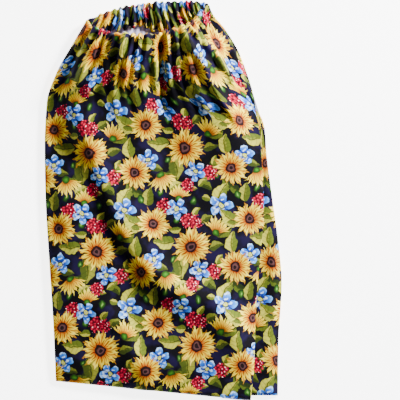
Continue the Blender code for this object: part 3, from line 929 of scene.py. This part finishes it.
def weave_height(tree, mm, pitch):
    """Plain weave: threads over and under each other by turns, as a height."""
    turn = math.pi / pitch
    waves = add(tree, VECTOR, mm, (turn, turn, 0.0), **TIMES)
    parts = add(tree, "ShaderNodeSeparateXYZ", add(tree, VECTOR, waves, operation="SINE")).node
    return add(tree, MATH, parts.outputs[0], parts.outputs[1], **TIMES)


def new_material(name):
    material = bpy.data.materials.new(name)
    material.use_nodes = True
    return material, material.node_tree, material.node_tree.nodes["Principled BSDF"]


def connect(tree, shader, color, roughness, bump, shine):
    """Links a finish's colour, roughness and bump to its shader, and sets how much it shines."""
    tree.links.new(color, shader.inputs["Base Color"])
    tree.links.new(roughness, shader.inputs["Roughness"])
    tree.links.new(bump, shader.inputs["Normal"])
    shader.inputs["Specular IOR Level"].default_value = shine


def printed_cotton(name):
    """Plain-weave cotton with its print: slubs, the thicker places in its threads, lie along the cloth."""
    material, tree, shader = new_material(name)
    cloth = add(tree, "ShaderNodeUVMap", uv_map="cloth")
    mm = add(tree, VECTOR, cloth, operation="SCALE", Scale=1000.0)
    color = sunflower_print(tree, mm)
    weave = weave_height(tree, mm, WEAVE_PITCH)
    drawn_out = add(tree, VECTOR, mm, (0.25, 2.2, 1.0), **TIMES)
    slub = add(tree, NOISE, drawn_out, Scale=0.5, Detail=2.0, **FLAT)
    grain = add(tree, MATH, weave, 0.06, 0.88, **TIMES_PLUS)
    grain = add(tree, MATH, slub, 0.24, grain, **TIMES_PLUS)
    color = add(tree, "ShaderNodeHueSaturation", Color=color, Value=grain)
    rough = add(tree, MATH, slub, 0.16, 0.74, **TIMES_PLUS)
    height = add(tree, MATH, slub, 0.6, weave, **TIMES_PLUS)
    bump = add(tree, "ShaderNodeBump", Strength=0.18, Distance=THREAD_HEIGHT, Height=height)
    connect(tree, shader, color, rough, bump, COTTON_SHINE)
    return material


def unprinted_cotton(name, light_code, dark_code):
    """Plain-weave cotton from its other side, blotched where the dyes come through."""
    material, tree, shader = new_material(name)
    cloth = add(tree, "ShaderNodeUVMap", uv_map="cloth")
    mm = add(tree, VECTOR, cloth, operation="SCALE", Scale=1000.0)
    blotch = add(tree, "ShaderNodeTexVoronoi", mm, voronoi_dimensions="2D", Scale=0.055, feature="SMOOTH_F1")
    soft_blotch = add(tree, NOISE, mm, Scale=0.09, Detail=2.0, **FLAT)
    through = add(tree, MATH, blotch, soft_blotch, **TIMES)
    through = add(tree, RANGE, through, 0.12, 0.42, **SOFT)
    color = add(tree, MIX, through, light_code, dark_code, **OVER)
    weave = weave_height(tree, mm, WEAVE_PITCH)
    grain = add(tree, MATH, weave, 0.05, 0.97, **TIMES_PLUS)
    color = add(tree, "ShaderNodeHueSaturation", Color=color, Value=grain)
    rough = add(tree, MATH, soft_blotch, 0.14, 0.80, **TIMES_PLUS)
    bump = add(tree, "ShaderNodeBump", Strength=0.22, Distance=THREAD_HEIGHT, Height=weave)
    connect(tree, shader, color, rough, bump, COTTON_SHINE)
    return material


ONE_BAND = 0.314  # the Wave node's scale at which its bands are 1 mm apart


def plain_stuff(name, code, worn_code, roughness, pitch, strength, bands):
    """Threads in even bands, pitch mm apart, a little unevenly coloured."""
    material, tree, shader = new_material(name)
    place = add(tree, "ShaderNodeTexCoord", out=3)
    mm = add(tree, VECTOR, place, operation="SCALE", Scale=1000.0)
    cloud = add(tree, NOISE, mm, Scale=0.35, Detail=2.0)
    ribs = add(tree, "ShaderNodeTexWave", mm, Scale=ONE_BAND / pitch, Distortion=0.6, bands_direction=bands)
    color = add(tree, MIX, add(tree, MATH, ribs, cloud, **TIMES), code, worn_code, **OVER)
    rough = add(tree, MATH, cloud, 0.2, roughness - 0.1, **TIMES_PLUS)
    bump = add(tree, "ShaderNodeBump", Strength=strength, Distance=0.0003, Height=ribs)
    connect(tree, shader, color, rough, bump, FIBRE_SHINE)
    return material


# Quilting cotton, pigment printed and pressed: matt, crisp flowers with a faint grain of threads and slubs
print_side = printed_cotton("printed_plain_weave_cotton")
# The same cotton's other side: pale violet grey, with the flowers' dyes as dim shadows
wrong_side = unprinted_cotton("wrong_side_of_printed_cotton", "#b8b0cc", "#7c748c")
# Cut edges overlocked with grey thread: rough, with a ridge at each loop of thread
overlocked = plain_stuff("overlocked_cotton_edge", "#b8b4bc", "#6c6878", 0.85, 1.6, 0.5, "Y")
# Rubber cores woven into a cream band: dull, with ribs across it that open as it stretches
elastic_web = plain_stuff("woven_rubber_elastic", "#c8c4b8", "#a09c90", 0.75, 1.1, 0.6, "X")
# Navy sewing thread spun from polyester: a little glossier than the cotton, with its twist as fine bands
spun_thread = plain_stuff("spun_polyester_thread", "#101024", "#2c2c4c", 0.55, 0.5, 0.3, "Z")


# ---------------------------------------------------------------- pieces

front_cloth = cloth_shell("front_cloth", list(range(0, cut + 1)))
back_cloth = cloth_shell("back_cloth", list(range(cut, COLUMNS)) + [0])

# The elastic's ribbon, through the casing between the inner layer's shares of depth given here
ELASTIC_TOP, ELASTIC_FOOT = 0.08, 0.88
ELASTIC_ROWS, ELASTIC_INSET, ELASTIC_THICKNESS = 7, 0.0019, 0.0007
ribbon = np.array([under_gathers(share * facing_depth, ELASTIC_INSET)
                   for share in np.linspace(ELASTIC_TOP, ELASTIC_FOOT, ELASTIC_ROWS)])
elastic = mesh_object("mouth_elastic", ribbon.reshape(-1, 3), strip_faces(ELASTIC_ROWS, COLUMNS, closed=True),
                      [elastic_web])
thicken(elastic, ELASTIC_THICKNESS)

# Straight stitches: dashes of thread along a line of the cloth
STITCH_PITCH, STITCH_LENGTH, THREAD_RADIUS = 0.0031, 0.0024, 0.00028
DASH_SIDES, DASH_RINGS = 8, 6


def stitch_tree():
    """Lays one dash of thread at each step along a line, turned to follow it."""
    tree, given, result = group("straight_stitches", [
        ("Geometry", "NodeSocketGeometry", None), ("Pitch", NUM, STITCH_PITCH),
        ("Length", NUM, STITCH_LENGTH), ("Thread radius", NUM, THREAD_RADIUS)],
        [("Geometry", "NodeSocketGeometry")], "GeometryNodeTree")
    line = add(tree, "GeometryNodeMeshToCurve", given["Geometry"])
    steps = add(tree, "GeometryNodeResampleCurve", line, mode="LENGTH", Length=given["Pitch"])
    tangent = add(tree, "GeometryNodeInputTangent")
    turned = add(tree, "FunctionNodeAlignRotationToVector", Vector=tangent, axis="X")
    dash = add(tree, "GeometryNodeMeshUVSphere", DASH_SIDES, DASH_RINGS, 0.5)
    thread = add(tree, MATH, given["Thread radius"], 2.0, **TIMES)
    size = add(tree, "ShaderNodeCombineXYZ", given["Length"], thread, thread)
    laid = add(tree, "GeometryNodeInstanceOnPoints", steps, Instance=dash, Rotation=turned, Scale=size)
    real = add(tree, "GeometryNodeRealizeInstances", laid)
    smoothed = add(tree, "GeometryNodeSetShadeSmooth", real)
    tree.links.new(add(tree, "GeometryNodeSetMaterial", smoothed, Material=spun_thread), result.inputs[0])
    return tree


def stitches(name, tree, lines):
    """Rows of stitches along lines of points, as one plain mesh."""
    vertices = [tuple(p) for line in lines for p in line]
    edges, first = [], 0
    for line in lines:
        edges += [(first + i, first + i + 1) for i in range(len(line) - 1)]
        first += len(line)
    mesh = bpy.data.meshes.new(name + "_line")
    mesh.from_pydata(vertices, edges, [])
    path = new_object(name + "_line", mesh)
    maker = path.modifiers.new("stitches", "NODES")
    maker.node_group = tree
    bpy.context.view_layer.update()
    plain = bpy.data.meshes.new_from_object(path.evaluated_get(bpy.context.evaluated_depsgraph_get()))
    plain.name = name
    bpy.data.objects.remove(path)
    return new_object(name, plain)


def line_on(rows_of_points, row, columns, off):
    """A line along a row of the cloth, this far off its outer side."""
    grid = normals_of(rows_of_points)
    return rows_of_points[row, columns] + grid[row, columns] * off


# How far the thread's middle stands off the cloth: most of the thread is pulled down into it, and more on the
# back, which lies on its stitches
STITCHES_OFF, BACK_STITCHES_OFF = 0.00008, 0.00002
stitch_row = RIM - (CASING_ROWS - 2)  # a few millimetres inside the casing's lower edge
facing_row = len(facing) - 3  # two rows above the inner layer's raw edge
tree_for_stitches = stitch_tree()


def casing_stitches(name, columns, off):
    """One row of stitches seen from outside and one from inside the mouth."""
    return stitches(name, tree_for_stitches, [
        line_on(outer, stitch_row, columns, off), line_on(facing, facing_row, columns, -STITCHES_OFF)])


front_stitches = casing_stitches("front_casing_stitches", np.flatnonzero(is_front), STITCHES_OFF)
back_stitches = casing_stitches("back_casing_stitches", np.flatnonzero(~is_front), BACK_STITCHES_OFF)

SEAM_WIDTH, SEAM_THICKNESS = 0.007, 0.0009
# The side seams: the edge each follows, its first and last y, its steps, how far in it starts, which way it
# goes in along X, the heights of its two sides, and how high it wavers
SIDE_SEAMS = [
    (LEFT_EDGE, -0.183, 0.150, 60, 0.0034, 1, 0.0017, 0.0016, 0.0002),
    (FRONT_FOLD, -0.190, HINGE_Y, 50, 0.0030, -1, 0.0060, 0.0061, 0.0),
    (RIGHT_EDGE, -0.190, 0.115, 55, 0.0022, -1, 0.0013, 0.0013, 0.0),
]
SEAM_WAVES = 210  # radians a metre
BASE_SEAM = (-0.100, 0.055, 50, 0.0050, 0.0013, 0.0014)  # first and last x, steps, distance in, and heights


def seam_strip(points_inner, points_outer):
    """A flat strip between two lines of points, closed, one seam allowance thick."""
    a, b = np.array(points_inner), np.array(points_outer)
    up = np.array([0.0, 0.0, SEAM_THICKNESS])
    ring = np.stack([a, b, b + up, a + up], axis=1)
    count = len(a)
    faces = [(r * 4 + c, r * 4 + (c + 1) % 4, (r + 1) * 4 + (c + 1) % 4, (r + 1) * 4 + c)
             for r in range(count - 1) for c in range(4)]
    faces += [(3, 2, 1, 0), tuple(4 * (count - 1) + c for c in range(4))]
    return ring.reshape(-1, 3), faces


def seam_allowances():
    """The seams' raw edges inside the bag: along its left side, both sides of the gusset, and the base."""
    strips = []
    for edge, first, last, steps, inset, way, near, far, waver in SIDE_SEAMS:
        ys = np.linspace(first, last, steps)
        xs = curve(edge, ys) + way * inset
        wave = waver * np.sin(ys * SEAM_WAVES)
        strips.append((np.stack([xs, ys, near + wave], 1),
                       np.stack([xs + way * SEAM_WIDTH, ys, far + wave], 1)))
    first, last, steps, inset, near, far = BASE_SEAM
    xs = np.linspace(first, last, steps)
    ys = hem(xs) + inset
    strips.append((np.stack([xs, ys, xs * 0 + near], 1), np.stack([xs, ys + SEAM_WIDTH, xs * 0 + far], 1)))
    vertices, faces = [], []
    for inner, away in strips:
        points, quads = seam_strip(inner, away)
        faces += [tuple(i + len(vertices) for i in quad) for quad in quads]
        vertices += [tuple(p) for p in points]
    return mesh_object("seam_allowances", vertices, faces, [overlocked], smooth_faces=False)


seams = seam_allowances()

# The cloth, the elastic and the stitches have their places baked into their meshes, and the seam allowances
# go with the bag
for piece in (front_cloth, back_cloth, elastic, front_stitches, back_stitches):
    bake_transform(piece)
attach(seams, "bag")

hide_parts("front_panel", "right_gusset_tuck", "gathered_front_panel",
            "front_casing", "front_casing_facing")
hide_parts("back_panel", "right_gusset", "back_casing", "back_casing_facing")
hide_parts("elastic_front", "elastic_back", "elastic_join")
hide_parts("casing_stitching_front")
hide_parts("casing_stitching_back")
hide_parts("left_side_seam", "right_front_seam", "right_back_seam", "base_seam")


# ---------------------------------------------------------------- floor, lights and camera

WHITE = linear("#ffffff")
TABLE_REACH = 3.0
TABLE_GLOW = 5.0  # so much that cast shadows stay faint
ROOM_LIGHT = 0.16
# Lamps: name, where it stands, what it is aimed at, its width and its watts. The key lamp stands low, so that
# every fold has a lit side and a dark one.
LAMPS = [
    ("key_softbox", (1.22, 1.06, 0.80), (0.0, 0.05, 0.0), 0.32, 188.0),
    ("fill_softbox", (-1.2, -0.5, 1.6), (0.0, 0.0, 0.0), 1.6, 3.0),
]


def floor():
    """A large matt white table, lit from within as a light table is: pale and even, with faint shadows."""
    material, _, shader = new_material("matt_white_table")
    shader.inputs["Base Color"].default_value = linear("#f2f2f2")
    shader.inputs["Roughness"].default_value = 0.9
    shader.inputs["Emission Color"].default_value = WHITE
    shader.inputs["Emission Strength"].default_value = TABLE_GLOW
    corners = [(x * TABLE_REACH, y * TABLE_REACH, 0) for x, y in ((-1, -1), (1, -1), (1, 1), (-1, 1))]
    return mesh_object("floor", corners, [(0, 1, 2, 3)], [material])


def softbox(name, place, target, width, watts):
    lamp = bpy.data.lights.new(name, "AREA")
    lamp.shape = "SQUARE"
    lamp.size = width
    lamp.energy = watts
    made = new_object(name, lamp)
    made.location = place
    aim = np.array(target) - np.array(place)
    tilt = math.acos(-aim[2] / np.linalg.norm(aim))
    made.rotation_euler = (tilt, 0.0, math.atan2(aim[1], aim[0]) - math.pi / 2)


floor()
for lamp_values in LAMPS:
    softbox(*lamp_values)

world = bpy.data.worlds.new("soft_white_room")
world.use_nodes = True
background = world.node_tree.nodes["Background"]
background.inputs["Color"].default_value = WHITE
background.inputs["Strength"].default_value = ROOM_LIGHT
bpy.context.scene.world = world

VIEW_WIDTH = 0.412  # metres across the picture, at the height of the cloth
VIEW_X, CLOTH_HEIGHT = 0.038, 0.010  # the bag lies a little left of the middle
LENS, SENSOR = 300.0, 36.0  # mm, a long lens from straight above
FURTHEST = 20.0
lens = bpy.data.cameras.new("camera")
lens.lens = LENS
lens.sensor_width = SENSOR
lens.clip_end = FURTHEST
camera = new_object("camera", lens)
camera.location = (VIEW_X, 0.0, CLOTH_HEIGHT + VIEW_WIDTH * LENS / SENSOR)
bpy.context.scene.camera = camera
